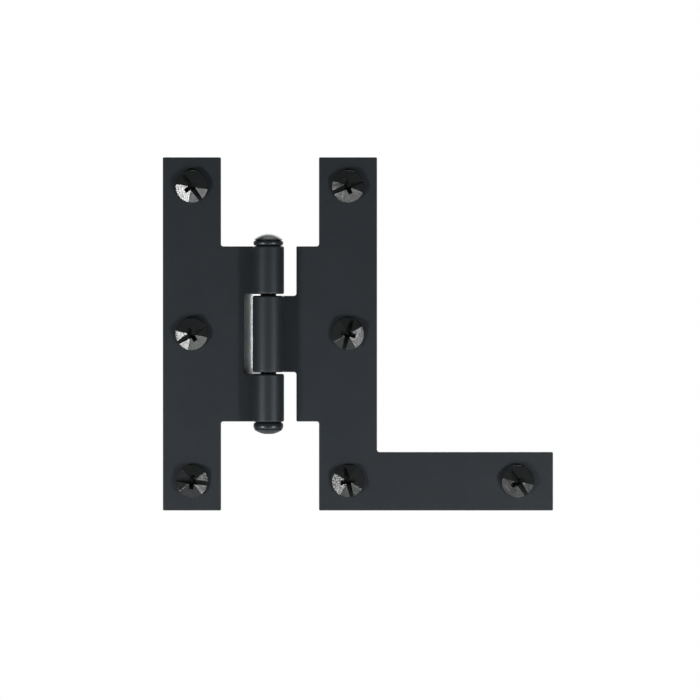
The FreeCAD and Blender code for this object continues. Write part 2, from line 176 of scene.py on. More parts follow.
class StageLook(bpy.types.PropertyGroup):
    """The camera, the lamps' power, the floor and the card behind the notch, with a painted shadow and a painted light
    on that card.
    """

    reach: length("Camera distance", 1.0, "Distance from the camera to the hinge")
    lens: FloatProperty(name="Lens", description="Focal length", default=204.2, min=1.0, subtype="DISTANCE_CAMERA")
    rise: turn("Camera rise", 0.4, "Height of the camera over the level, as an angle")
    target: FloatVectorProperty(
        name="Target",
        description="The point that the camera looks at",
        default=(39.8 * MM, -1.0 * MM, -4.05 * MM),
        subtype="TRANSLATION",
    )
    left: FloatProperty(name="Left lamp", description="Power of the lamp on the left", default=1.85, unit="POWER")
    right: FloatProperty(name="Right lamp", description="Power of the lamp on the right", default=1.42, unit="POWER")
    low: FloatProperty(name="Low lamp", description="Power of the lamp below on the right", default=0.45, unit="POWER")
    top: FloatProperty(name="Top lamp", description="Power of the lamp above", default=0.7, unit="POWER")
    back: FloatProperty(name="Back lamp", description="Power of the lamp behind", default=1.2, unit="POWER")
    fill: share("Fill", 0.06, "Strength of the light from all round")
    floor_size: length("Floor size", 1.6, "Width of the square floor")
    floor_drop: length("Floor depth", 0.3, "How far the floor lies below the hinge")
    floor_glow: share("Floor glow", 0.6, "How much the floor shines for the camera")
    floor_mirrored: share("Floor in reflections", 0.3, "Part of that glow that reflections see")
    # The card's colours are a painted shadow: grey at the left, where the leaf's edge shades the card, through a half
    # shade to white
    card_shadow_colour: colour("Card painted shadow", (0.64, 0.70, 0.71), "Colour of the card in the notch at its left")
    card_half_shadow_colour: colour("Card painted half shadow", (0.90, 0.96, 0.97), "Colour of the card before it turns white")
    card_half_shadow_place: share("Card half shadow place", 0.6, "Where that colour lies, between left and white")
    card_shadow_width: length("Card shade", 2.3 * MM, "Width over which the card lightens")
    # The card's glow is a painted light, where the lamp's light reaches the card past the leaf's shadow
    card_painted_light: share("Card painted light", 0.35, "How much the card shines where it is white")
    card_painted_light_onset: FloatProperty(name="Card painted light onset", description="How late that glow sets in", default=3.5, min=0.0)


# Working in edit mode


def take(piece, mode="EDIT"):
    """Makes one piece the only selected one and opens it in a mode."""
    if bpy.context.mode != "OBJECT":
        bpy.ops.object.mode_set(mode="OBJECT")
    bpy.ops.object.select_all(action="DESELECT")
    piece.hide_set(False)
    piece.select_set(True)
    bpy.context.view_layer.objects.active = piece
    bpy.ops.object.mode_set(mode=mode)


def put_down():
    """Leaves edit mode with nothing selected."""
    if bpy.context.mode != "OBJECT":
        bpy.ops.object.mode_set(mode="OBJECT")
    bpy.ops.object.select_all(action="DESELECT")


def added(name):
    """Names the primitive that was just added and settles its place into its mesh."""
    piece = bpy.context.object
    piece.name = piece.data.name = name
    bpy.ops.object.transform_apply(location=True, rotation=True, scale=True)
    return piece


def pick(piece, kind, wanted):
    """Selects the vertices, edges or faces that pass a test, in edit mode."""
    bpy.ops.mesh.select_mode(type=kind)
    bpy.ops.mesh.select_all(action="DESELECT")
    mesh = bmesh.from_edit_mesh(piece.data)
    for item in {"VERT": mesh.verts, "EDGE": mesh.edges, "FACE": mesh.faces}[kind]:
        if wanted(item):
            item.select_set(True)
    mesh.select_flush_mode()
    bmesh.update_edit_mesh(piece.data)


def settle(piece):
    """Merges doubles and turns every face outwards."""
    take(piece)
    bpy.ops.mesh.select_all(action="SELECT")
    bpy.ops.mesh.remove_doubles(threshold=FINE)
    bpy.ops.mesh.normals_make_consistent(inside=False)
    put_down()


def apply_modifier(piece, kind, **settings):
    """Adds a modifier and applies it."""
    take(piece, "OBJECT")
    modifier = piece.modifiers.new(kind.title(), kind)
    for name, value in settings.items():
        setattr(modifier, name, value)
    bpy.ops.object.modifier_apply(modifier=modifier.name)


def cut_with(piece, tool, operation="DIFFERENCE"):
    """Cuts a piece with a tool, or joins them, and throws the tool away."""
    apply_modifier(piece, "BOOLEAN", operation=operation, solver="EXACT", object=tool)
    bpy.data.objects.remove(tool)


def ease_edges(piece, width_of, segments, sharp=35.0):
    """Bevels every edge sharper than an angle, each by its own width, in metres."""
    mesh = bmesh.new()
    mesh.from_mesh(piece.data)
    layer = mesh.edges.layers.float.new("bevel_weight_edge")
    widths = {}
    for edge in mesh.edges:
        if len(edge.link_faces) == 2 and edge.calc_face_angle(0.0) > math.radians(sharp):
            widths[edge.index] = width_of(edge)
    widest = max(widths.values())
    for edge in mesh.edges:
        edge[layer] = widths.get(edge.index, 0.0) / widest
    mesh.to_mesh(piece.data)
    mesh.free()
    apply_modifier(
        piece,
        "BEVEL",
        width=widest,
        segments=segments,
        limit_method="WEIGHT",
        use_clamp_overlap=False,
        miter_outer="MITER_ARC",
    )


def finish_surface(piece, angle=40.0):
    """Smooth shading between shallow faces, with the flat ones kept flat."""
    settle(piece)
    take(piece, "OBJECT")
    bpy.ops.object.shade_smooth_by_angle(angle=math.radians(angle))
    apply_modifier(piece, "WEIGHTED_NORMAL", mode="FACE_AREA", weight=60, keep_sharp=True)
    put_down()


def stand_for(piece, node, body, paint):
    """Gives a piece its paint, hides the node it stands for and hangs the piece on that node's body."""
    piece.data.materials.clear()
    piece.data.materials.append(paint)
    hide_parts(node)
    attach(piece, body)


# Leaves

# Angle over which two edges run on as one line
STRAIGHT = math.radians(179)
# Half the square cut free round each hole, as a part of the hole's diameter, and the cuts in each of its sides
SQUARE, SQUARE_CUTS = 0.8, 11


def cut_outline(name, areas, sizes):
    """A flat sheet in the back plane with the outline of some rectangles (x, x, z, z), its corners rounded."""
    across = sorted({x for area in areas for x in area[:2]})
    up = sorted({z for area in areas for z in area[2:]})
    put_down()
    middle = ((across[0] + across[-1]) / 2, 0, (up[0] + up[-1]) / 2)
    bpy.ops.mesh.primitive_plane_add(size=1, location=middle, rotation=UPRIGHT)
    bpy.context.object.scale = (across[-1] - across[0], up[-1] - up[0], 1)
    sheet = added(name)
    take(sheet)
    for values, normal in ((across, (1, 0, 0)), (up, (0, 0, 1))):
        for value in values[1:-1]:
            bpy.ops.mesh.select_all(action="SELECT")
            bpy.ops.mesh.bisect(plane_co=Vector(normal) * value, plane_no=normal, threshold=FINE)

    def outside(face):
        spot = face.calc_center_median()
        return not any(x0 < spot.x < x1 and z0 < spot.z < z1 for x0, x1, z0, z1 in areas)

    pick(sheet, "FACE", outside)
    bpy.ops.mesh.delete(type="FACE")
    bpy.ops.mesh.select_all(action="SELECT")
    bpy.ops.mesh.dissolve_faces()

    def along_side(vertex):
        first, last = [edge.other_vert(vertex).co - vertex.co for edge in vertex.link_edges]
        return first.angle(last) > STRAIGHT

    pick(sheet, "VERT", along_side)
    bpy.ops.mesh.dissolve_verts()

    def corner(vertex, convex):
        at_pin = abs(vertex.co.x - PIN_AXIS.x) < FINE
        return not at_pin and vertex.link_loops[0].is_convex == convex

    for convex, radius in ((True, sizes.outer_corner), (False, sizes.inner_corner)):
        pick(sheet, "VERT", lambda vertex, convex=convex: corner(vertex, convex))
        bpy.ops.mesh.bevel(offset=radius, segments=4, affect="VERTICES")
    put_down()
    return sheet


def punch_holes(sheet, sizes, holes):
    """Punches the screw holes: a square round each is cut free, and its rim drawn inwards to a circle."""
    half = SQUARE * sizes.hole
    take(sheet)
    for normal in (Vector((1, 0, 0)), Vector((0, 0, 1))):
        for level in sorted({round(normal.dot(place) + side, 6) for place in holes for side in (-half, half)}):
            bpy.ops.mesh.select_all(action="SELECT")
            bpy.ops.mesh.bisect(plane_co=normal * level, plane_no=normal, threshold=FINE)

    def on_square(edge, place):
        offsets = [vertex.co - place for vertex in edge.verts]
        return all(max(abs(spot.x), abs(spot.z)) < half + FINE for spot in offsets)

    for place in holes:
        pick(sheet, "FACE", lambda face, place=place: (face.calc_center_median() - place).length < half / 2)
        bpy.ops.mesh.delete(type="ONLY_FACE")
        pick(sheet, "EDGE", lambda edge, place=place: on_square(edge, place))
        bpy.ops.mesh.subdivide(number_cuts=SQUARE_CUTS)
        pick(sheet, "EDGE", lambda edge, place=place: on_square(edge, place))
        bpy.ops.mesh.extrude_region_move()
        bpy.ops.transform.tosphere(value=1.0, center_override=place)
        mesh = bmesh.from_edit_mesh(sheet.data)
        reach = next((vertex.co - place).length for vertex in mesh.verts if vertex.select)
        shrink = sizes.hole / 2 / reach
        bpy.ops.transform.resize(value=(shrink, shrink, shrink), center_override=place)
    put_down()


def roll_round_pin(leaf, sizes, clockwise):
    """Thickens the sheet and rolls its tabs round the pin.

    The roll starts back over its own leaf and crosses it, where the solids' roll leads away from the leaf.
    """
    take(leaf)
    bpy.ops.mesh.select_all(action="SELECT")
    bpy.ops.mesh.extrude_region_move(TRANSFORM_OT_translate={"value": (0, -sizes.sheet, 0)})
    bpy.ops.mesh.select_all(action="SELECT")
    bpy.ops.mesh.normals_make_consistent(inside=False)
    pick(leaf, "FACE", lambda face: abs(face.calc_center_median().x - PIN_AXIS.x) < FINE)
    angle = -sizes.wrap if clockwise else sizes.wrap
    bpy.ops.mesh.spin(steps=sizes.steps, angle=angle, center=PIN_AXIS, axis=(0, 0, 1))
    put_down()
    settle(leaf)


def leaf_edge_width(edge, sizes, clockwise):
    """How far one edge of a leaf is eased: little behind, more in front, most at the ends of the barrel."""
    middle = (edge.verts[0].co + edge.verts[1].co) / 2
    side = 1 if clockwise else -1
    beyond = (middle.x - PIN_AXIS.x) * side > -FINE
    if not beyond and middle.y > -sizes.sheet - FINE:
        return sizes.front_edge if middle.y < -sizes.sheet / 2 else sizes.back_edge
    out = Vector((middle.x - PIN_AXIS.x, middle.y - PIN_AXIS.y))
    barrel = -PIN_AXIS.y
    bore = barrel - sizes.sheet
    along = math.atan2(out.x * side, out.y) % math.tau
    start = min(1.0, along / sizes.ease_in)
    if abs((edge.verts[0].co - edge.verts[1].co).z) > FINE:
        return sizes.back_edge
    if out.length > (barrel + bore) / 2:
        return sizes.back_edge + (sizes.knuckle_end - sizes.back_edge) * start
    return sizes.front_edge + (sizes.back_edge - sizes.front_edge) * start


def make_leaf(name, areas, holes, clockwise):
    """One leaf with its knuckles and screw holes."""
    sizes = bpy.context.scene.hinge_leaf
    leaf = cut_outline(name, areas, sizes)
    punch_holes(leaf, sizes, holes)
    roll_round_pin(leaf, sizes, clockwise)
    ease_edges(leaf, lambda edge: leaf_edge_width(edge, sizes, clockwise), segments=4)
    finish_surface(leaf)
    return leaf


def screw_places():
    """Centre of each screw on the leaves' back plane."""
    places = {}
    for node in SCREW_TURNS:
        low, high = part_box(node)
        places[node] = Vector((round((low.x + high.x) / 2, 5), 0, round((low.z + high.z) / 2, 5)))
    return places


class HINGE_OT_frame_leaf(bpy.types.Operator):
    """Make the frame leaf, with its two outer knuckles rolled round the pin"""

    bl_idname = "hinge.frame_leaf"
    bl_label = "Frame leaf"

    def execute(self, context):
        sizes = context.scene.hinge_leaf
        low, high = FRAME_LEAF
        bar = low.x + sizes.bar_width
        notch = sizes.frame_notch
        areas = [
            (low.x, bar, low.z, high.z),
            (bar, notch, -sizes.shoulder, sizes.shoulder),
            (notch, PIN_AXIS.x, sizes.notch, sizes.shoulder),
            (notch, PIN_AXIS.x, -sizes.shoulder, -sizes.notch),
        ]
        holes = [place for node, place in screw_places().items() if node.startswith("frame")]
        leaf = make_leaf("frame_leaf_dressed", areas, holes, True)
        stand_for(leaf, "frame_leaf", "frame", satin_paint())
        return {"FINISHED"}


class HINGE_OT_door_leaf(bpy.types.Operator):
    """Make the door leaf, with its middle knuckle and its foot"""

    bl_idname = "hinge.door_leaf"
    bl_label = "Door leaf"

    def execute(self, context):
        sizes = context.scene.hinge_leaf
        low, high = DOOR_LEAF
        shoulder = PIN_AXIS.x + sizes.door_shoulder
        middle = screw_places()["door_screw_middle"].x
        inner, outer = middle - sizes.bar_width / 2, middle + sizes.bar_width / 2
        areas = [
            (PIN_AXIS.x, shoulder, -sizes.knuckle, sizes.knuckle),
            (shoulder, inner, -sizes.shoulder, sizes.shoulder),
            (inner, outer, low.z, high.z),
            (outer, high.x, low.z, low.z + sizes.foot),
        ]
        holes = [place for node, place in screw_places().items() if node.startswith("door")]
        leaf = make_leaf("door_leaf_dressed", areas, holes, False)
        stand_for(leaf, "door_leaf", "door", satin_paint())
        return {"FINISHED"}


# Turned pieces


def draw_line(name, points):
    """A chain of edges through some points, drawn by extruding one vertex."""
    put_down()
    bpy.ops.mesh.primitive_plane_add(size=MM, location=points[0])
    line = added(name)
    take(line)
    bpy.ops.mesh.select_mode(type="VERT")
    bpy.ops.mesh.select_all(action="SELECT")
    bpy.ops.mesh.merge(type="CENTER")
    for start, end in zip(points, points[1:]):
        bpy.ops.mesh.extrude_vertices_move(TRANSFORM_OT_translate={"value": Vector(end) - Vector(start)})
    put_down()
    return line


def turn_on_lathe(name, profile, steps):
    """A solid turned round the upright axis from a profile of (radius, height)."""
    piece = draw_line(name, [(radius, 0, height) for radius, height in profile])
    take(piece)
    bpy.ops.mesh.select_all(action="SELECT")
    bpy.ops.mesh.spin(steps=steps, angle=math.tau, center=(0, 0, 0), axis=(0, 0, 1))
    put_down()
    settle(piece)
    return piece


# Pin

# Sides of the turned pin, and steps in the arc of each bead and dome
PIN_SIDES, ARC_STEPS = 72, 14


def head_profile(sizes, base, bead, groove, flat):
    """A pin head from its underside to its tip: a round bead, a narrow groove, and a dome up to a flat."""
    rim = sizes.head / 2
    swell = sizes.swell * rim
    low = base + sizes.gap
    high = low + bead
    points = [(sizes.collar * rim, base)]
    for step in range(ARC_STEPS + 1):
        angle = math.pi * step / ARC_STEPS
        points.append((rim - swell + swell * math.sin(angle), low + bead / 2 * (1 - math.cos(angle))))
    slit = sizes.slit * groove
    points.append((rim - swell - groove / 2, high + slit))
    edge = sizes.crown * rim
    rise = base + sizes.tall - high - 3 * slit
    radius = (edge * edge + rise * rise) / (2 * rise)
    centre = base + sizes.tall - radius
    first, last = math.asin(edge / radius), math.asin(flat / radius)
    points.append((edge - slit, high + 2 * slit))
    for step in range(ARC_STEPS + 1):
        angle = first + (last - first) * step / ARC_STEPS
        points.append((radius * math.sin(angle), centre + radius * math.cos(angle)))
    return points


class HINGE_OT_pin(bpy.types.Operator):
    """Make the pin, with a beaded, domed head at each end and the lower one flattened at its tip"""

    bl_idname = "hinge.pin"
    bl_label = "Pin"

    def execute(self, context):
        sizes = context.scene.hinge_pin
        base = context.scene.hinge_leaf.shoulder
        top = head_profile(sizes, base, sizes.bead, sizes.groove, 0.0)
        below = head_profile(sizes, base, sizes.foot_bead, sizes.foot_groove, sizes.peen)
        foot = [(radius, -height) for radius, height in below]
        shank = sizes.shank / 2
        profile = [(0.0, foot[-1][1])] + foot[::-1] + [(shank, -base), (shank, base)] + top
        pin = turn_on_lathe("hinge_pin_dressed", profile, PIN_SIDES)
        take(pin)
        bpy.ops.mesh.select_all(action="SELECT")
        bpy.ops.transform.translate(value=(PIN_AXIS.x, PIN_AXIS.y, 0))
        finish_surface(pin, angle=35.0)
        stand_for(pin, "hinge_pin", "frame", pin_paint())
        return {"FINISHED"}


# Screws

# Sides of the round parts
HEAD_SIDES, NECK_SIDES, THREAD_SIDES = 96, 48, 24
# Part of the head's radius beyond which an edge is on the rim
RIM_BAND = 0.97
# How far the cutting blocks stand over the head, the neck reaches into it, and the shank into the neck
BLOCK_OVER, NECK_LAP, SHANK_LAP = 0.5 * MM, 0.1 * MM, 0.3 * MM
# Widths at the floor of the slot, of the recess arms and at the recess's tip, as parts of those above
SLOT_FLOOR, ARM_FLOOR, TIP = 0.6, 0.65, 0.1
# One turn of thread: whether a corner is on the crest, and its height as a part of the pitch
THREAD_TURN = ((False, 0), (False, 0.52), (True, 0.72), (True, 0.80), (False, 1))
# Turns made below the point and cut off again, and how much the point is narrowed
SPARE_TURNS, POINT_TAPER = 2, 0.9


def pyramid_head(sizes):
    """The head, facing up from the ground, with four facets that fall from the point to the rim."""
    put_down()
    bpy.ops.mesh.primitive_cylinder_add(
        vertices=HEAD_SIDES,
        radius=sizes.head / 2,
        depth=sizes.height,
        location=(0, 0, sizes.height / 2),
    )
    head = added("screw_head")
    fall = math.atan2(sizes.height - sizes.rim, sizes.head / 2)
    take(head)
    for quarter in range(4):
        away = Vector((math.cos(quarter * math.pi / 2), math.sin(quarter * math.pi / 2), 0))
        bpy.ops.mesh.select_all(action="SELECT")
        bpy.ops.mesh.bisect(
            plane_co=(0, 0, sizes.height),
            plane_no=away * math.sin(fall) + Vector((0, 0, math.cos(fall))),
            use_fill=True,
            clear_outer=True,
            threshold=FINEST,
        )
    put_down()
    settle(head)
    return head


def head_edge_width(edge, sizes):
    """How far one edge of a screw head is eased: more round the rim than along the ridges."""
    middle = (edge.verts[0].co + edge.verts[1].co) / 2
    on_rim = math.hypot(middle.x, middle.y) > RIM_BAND * sizes.head / 2
    return sizes.rim_edge if on_rim and middle.z > sizes.rim / 2 else sizes.edge


def tapered_block(name, span, width, floor, top, squeeze, tip=0.0):
    """A block between two heights, its lower end narrowed along and across and drawn out to a tip."""
    put_down()
    bpy.ops.mesh.primitive_cube_add(size=1, location=(0, 0, (floor + top) / 2))
    bpy.context.object.scale = (span, width, top - floor)
    block = added(name)
    take(block)
    pick(block, "FACE", lambda face: face.normal.z < -0.5)
    bpy.ops.transform.resize(value=(*squeeze, 1), center_override=(0, 0, floor))
    if tip:
        bpy.ops.mesh.extrude_region_move(TRANSFORM_OT_translate={"value": (0, 0, -tip)})
        bpy.ops.transform.resize(value=(TIP, TIP, 1), center_override=(0, 0, floor - tip))
    put_down()
    return block


def cut_drive(head, sizes):
    """Cuts the slot across the head, and the cross recess in its middle."""
    above = sizes.height + BLOCK_OVER
    slot = tapered_block("slot", 2 * sizes.head, sizes.slot, sizes.slot_floor, above, (1, SLOT_FLOOR))
    cut_with(head, slot)
    floor = sizes.height - sizes.recess_depth
    growth = (sizes.recess - sizes.recess_floor) / sizes.recess_depth
    span = sizes.recess_floor + growth * (above - floor)
    for quarter in (0, 1):
        narrowed = (sizes.recess_floor / span, ARM_FLOOR)
        arm = tapered_block("arm", span, sizes.arm, floor, above, narrowed, sizes.recess_floor / 2)
        take(arm)
        bpy.ops.mesh.select_all(action="SELECT")
        bpy.ops.transform.rotate(value=quarter * math.pi / 2, orient_axis="Z", center_override=(0, 0, 0))
        put_down()
        cut_with(head, arm)
    settle(head)


def threaded_shank(sizes, sheet):
    """The shank behind the leaf: one turn of thread swept down the axis and drawn to a point."""
    root, crest, pitch = sizes.root / 2, sizes.thread / 2, sizes.pitch
    straight = sizes.shank - sheet - sizes.point
    low = -sizes.point - SPARE_TURNS * pitch
    profile = [(crest if out else root, 0, low + height * pitch) for out, height in THREAD_TURN]
    thread = draw_line("screw_thread", profile)
    apply_modifier(
        thread,
        "SCREW",
        angle=math.tau,
        screw_offset=pitch,
        iterations=math.ceil((straight - low) / pitch) + 1,
        steps=THREAD_SIDES,
        render_steps=THREAD_SIDES,
        use_merge_vertices=True,
        merge_threshold=FINE,
    )
    settle(thread)
    take(thread)
    top = straight + SHANK_LAP
    for level, normal in ((top, (0, 0, 1)), (-sizes.point, (0, 0, -1))):
        bpy.ops.mesh.select_all(action="SELECT")
        bpy.ops.mesh.bisect(
            plane_co=(0, 0, level), plane_no=normal, use_fill=True, clear_outer=True, threshold=FINEST
        )
    apply_modifier(
        thread,
        "SIMPLE_DEFORM",
        deform_method="TAPER",
        deform_axis="Z",
        factor=POINT_TAPER,
        limits=(0.0, sizes.point / (top + sizes.point)),
    )
    return thread


class HINGE_OT_screws(bpy.types.Operator):
    """Make one wood screw and set a copy of it in every hole, each turned its own way"""

    bl_idname = "hinge.screws"
    bl_label = "Screws"

    def execute(self, context):
        sizes = context.scene.hinge_screw
        sheet = context.scene.hinge_leaf.sheet
        screw = pyramid_head(sizes)
        ease_edges(screw, lambda edge: head_edge_width(edge, sizes), segments=3, sharp=18.0)
        cut_drive(screw, sizes)
        radius = sizes.neck / 2
        profile = [(0.0, NECK_LAP), (radius, NECK_LAP), (radius, -sheet), (0.0, -sheet)]
        neck = turn_on_lathe("neck", profile, NECK_SIDES)
        thread = threaded_shank(sizes, sheet)
        take(thread)
        bpy.ops.mesh.select_all(action="SELECT")
        bpy.ops.transform.translate(value=(0, 0, sizes.point - sizes.shank))
        cut_with(neck, thread, "UNION")
        cut_with(screw, neck, "UNION")
        finish_surface(screw, angle=30.0)
        paint = gloss_paint()
        for node, place in screw_places().items():
            take(screw, "OBJECT")
            bpy.ops.object.duplicate()
            copy = bpy.context.object
            turn_by, right, up = (math.radians(value) for value in SCREW_TURNS[node])
            turned = Matrix.Rotation(-turn_by, 4, "Y") @ Matrix.Rotation(math.pi / 2, 4, "X")
            leaning = Matrix.Rotation(right, 4, "Z") @ Matrix.Rotation(-up, 4, "X")
            copy.matrix_world = Matrix.Translation(place - Vector((0, sheet, 0))) @ leaning @ turned
            copy = added(node + "_dressed")
            stand_for(copy, node, node.split("_")[0], paint)
        bpy.data.objects.remove(screw)
        return {"FINISHED"}


# Paint

# The paints' orange peel, its scale per metre and its depth, and how far their roughness changes
SATIN = {"Peel size": 1800.0, "Peel depth": 0.002 * MM, "Roughness change": 0.02}
GLOSS = {"Peel size": 3000.0, "Peel depth": 0.045 * MM, "Roughness change": 0.08}
# Scale per metre of the clouds in that roughness
CLOUDS = 120.0
# Noise that is spread over a full change: widely for the tone and the clouds, closely for the specks
WIDELY, CLOSELY = (0.3, 0.7), (0.4, 0.6)
TONES = (0.92, 1.06)


def reckon(tree, operation, *values, clamp=False):
    """The result of a Math node whose values are sockets or plain numbers."""
    node = tree.nodes.new("ShaderNodeMath")
    node.operation = operation
    node.use_clamp = clamp
    for place, value in enumerate(values):
        if isinstance(value, float):
            node.inputs[place].default_value = value
        else:
            tree.links.new(value, node.inputs[place])
    return node.outputs["Value"]


def spread(tree, value, low, high, to_low=0.0, to_high=1.0):
    """A value between two bounds spread over a new range, and held at its ends."""
    node = tree.nodes.new("ShaderNodeMapRange")
    for label, number in (("From Min", low), ("From Max", high), ("To Min", to_low), ("To Max", to_high)):
        node.inputs[label].default_value = number
    tree.links.new(value, node.inputs["Value"])
    return node.outputs["Result"]


def node_group(name, inputs, outputs):
    """An empty shader group with named sockets, with its two end nodes."""
    group = bpy.data.node_groups.new(name, "ShaderNodeTree")
    for way, labels in (("INPUT", inputs), ("OUTPUT", outputs)):
        for label in labels:
            kind = "NodeSocketVector" if label == "Normal" else "NodeSocketFloat"
            group.interface.new_socket(label, in_out=way, socket_type=kind)
    return group, group.nodes.new("NodeGroupInput"), group.nodes.new("NodeGroupOutput")


def paint_grain():
    """Orange peel and clouds in sprayed paint: a bumped normal, a roughness, a tone to multiply with and a gleam."""
    if "paint grain" in bpy.data.node_groups:
        return bpy.data.node_groups["paint grain"]
    group, given, made = node_group(
        "paint grain",
        ("Peel size", "Peel depth", "Roughness", "Roughness change", "Gleam", "Gleam change"),
        ("Normal", "Roughness", "Tone", "Gleam"),
    )
    nodes, join = group.nodes, group.links.new
    place = nodes.new("ShaderNodeTexCoord")
    peel = nodes.new("ShaderNodeTexNoise")
    peel.inputs["Detail"].default_value = 3.0
    peel.inputs["Roughness"].default_value = 0.6
    join(place.outputs["Object"], peel.inputs["Vector"])
    join(given.outputs["Peel size"], peel.inputs["Scale"])
    bump = nodes.new("ShaderNodeBump")
    join(given.outputs["Peel depth"], bump.inputs["Distance"])
    join(peel.outputs["Fac"], bump.inputs["Height"])
    join(bump.outputs["Normal"], made.inputs["Normal"])
    cloud = nodes.new("ShaderNodeTexNoise")
    cloud.inputs["Scale"].default_value = CLOUDS
    cloud.inputs["Detail"].default_value = 4.0
    join(place.outputs["Object"], cloud.inputs["Vector"])
    join(spread(group, peel.outputs["Fac"], *WIDELY, *TONES), made.inputs["Tone"])
    clouds = spread(group, cloud.outputs["Fac"], *WIDELY, to_low=-1.0)
    specks = spread(group, peel.outputs["Fac"], *CLOSELY, to_low=-1.0)
    for label, pattern in (("Roughness", clouds), ("Gleam", specks)):
        changed = reckon(group, "MULTIPLY_ADD", pattern, given.outputs[label + " change"], given.outputs[label])
        join(changed, made.inputs[label])
    return group


def painted(name, shade, roughness, specular, peel, speckle=0.0):
    """Sprayed black paint on metal."""
    if name in bpy.data.materials:
        return bpy.data.materials[name]
    paint = bpy.data.materials.new(name)
    paint.use_nodes = True
    paint.diffuse_color = (*shade, 1.0)
    nodes, join = paint.node_tree.nodes, paint.node_tree.links.new
    shader = nodes["Principled BSDF"]
    shader.inputs["Specular IOR Level"].default_value = specular
    grain = nodes.new("ShaderNodeGroup")
    grain.node_tree = paint_grain()
    given = {**peel, "Roughness": roughness, "Gleam": specular, "Gleam change": speckle * specular}
    for label, value in given.items():
        grain.inputs[label].default_value = value
    mix = nodes.new("ShaderNodeVectorMath")
    mix.operation = "SCALE"
    mix.inputs[0].default_value = shade
    join(grain.outputs["Tone"], mix.inputs["Scale"])
    join(mix.outputs["Vector"], shader.inputs["Base Color"])
    join(grain.outputs["Roughness"], shader.inputs["Roughness"])
    join(grain.outputs["Normal"], shader.inputs["Normal"])
    join(grain.outputs["Gleam"], shader.inputs["Specular IOR Level"])
    return paint


def satin_paint():
    """The satin paint on the leaves."""
    look = bpy.context.scene.hinge_paint
    return painted("leaf_satin", look.leaf_colour, look.leaf_roughness, look.leaf_specular, SATIN)


def pin_paint():
    """The same paint on the pin, smoother on its turned heads."""
    look = bpy.context.scene.hinge_paint
    return painted("pin_satin", look.leaf_colour, look.pin_roughness, look.leaf_specular, SATIN)


def gloss_paint():
    """The glossier, speckled paint on the screws."""
    look = bpy.context.scene.hinge_paint
    return painted(
        "screw_gloss", look.screw_colour, look.screw_roughness, look.screw_specular, GLOSS, look.screw_speckle
    )


# Stage

WHITE = (1, 1, 1, 1)
PAPER = (0.86, 0.86, 0.86, 1)
# How far behind the hinge a direction points where the surround starts to whiten, and where it is white
DIM_UNTIL, WHITE_FROM = 0.4, 0.9
# The card in the notch: how far it is moved left and back, and how much taller than the notch it is
CARD_LEFT, CARD_BACK, CARD_SPARE = 0.2 * MM, 0.05 * MM, 1.01
# Each soft lamp's azimuth and rise in degrees, and its distance, width and height in metres
LAMPS = {
    "left": (-48, -22, 0.48, 0.08, 0.10),
    "right": (42, -20, 0.48, 0.05, 0.14),
    "low": (29, -45, 0.40, 0.14, 0.12),
    "top": (180, 80, 0.45, 0.30, 0.20),
    "back": (180, 35, 0.50, 0.40, 0.30),
}


def surround(world, fill):
    """A white surround for the camera, and for reflections of what is behind; the room in front is dim."""
    world.use_nodes = True
    tree = world.node_tree
    nodes, join = tree.nodes, tree.links.new
    nodes.clear()
    ray = nodes.new("ShaderNodeLightPath")
    way = nodes.new("ShaderNodeTexCoord")
    split = nodes.new("ShaderNodeSeparateXYZ")
    join(way.outputs["Generated"], split.inputs["Vector"])
    behind = spread(tree, split.outputs["Y"], DIM_UNTIL, WHITE_FROM)
    seen = reckon(tree, "MULTIPLY", ray.outputs["Is Glossy Ray"], behind)
    for kind in ("Is Camera Ray", "Is Transmission Ray"):
        seen = reckon(tree, "MAXIMUM", seen, ray.outputs[kind])
    choice = nodes.new("ShaderNodeMixShader")
    join(seen, choice.inputs["Fac"])
    for place, strength in ((1, fill), (2, 1.0)):
        light = nodes.new("ShaderNodeBackground")
        light.inputs["Color"].default_value = WHITE
        light.inputs["Strength"].default_value = strength
        join(light.outputs["Background"], choice.inputs[place])
    join(choice.outputs["Shader"], nodes.new("ShaderNodeOutputWorld").inputs["Surface"])


def plain_paper(name):
    """Matt paper whose glow, if it is given any, is white."""
    paper = bpy.data.materials.new(name)
    paper.use_nodes = True
    shader = paper.node_tree.nodes["Principled BSDF"]
    shader.inputs["Base Color"].default_value = PAPER
    shader.inputs["Roughness"].default_value = 0.9
    shader.inputs["Emission Color"].default_value = WHITE
    return paper, paper.node_tree, shader


def pale_paper(look):
    """Paper that the camera sees pale, and reflections less so, with shadows on it."""
    paper, tree, shader = plain_paper("pale_paper")
    ray = tree.nodes.new("ShaderNodeLightPath").outputs
    seen = reckon(
        tree, "MULTIPLY_ADD", ray["Is Glossy Ray"], look.floor_mirrored, ray["Is Camera Ray"], clamp=True
    )
    tree.links.new(reckon(tree, "MULTIPLY", seen, look.floor_glow), shader.inputs["Emission Strength"])
    return paper


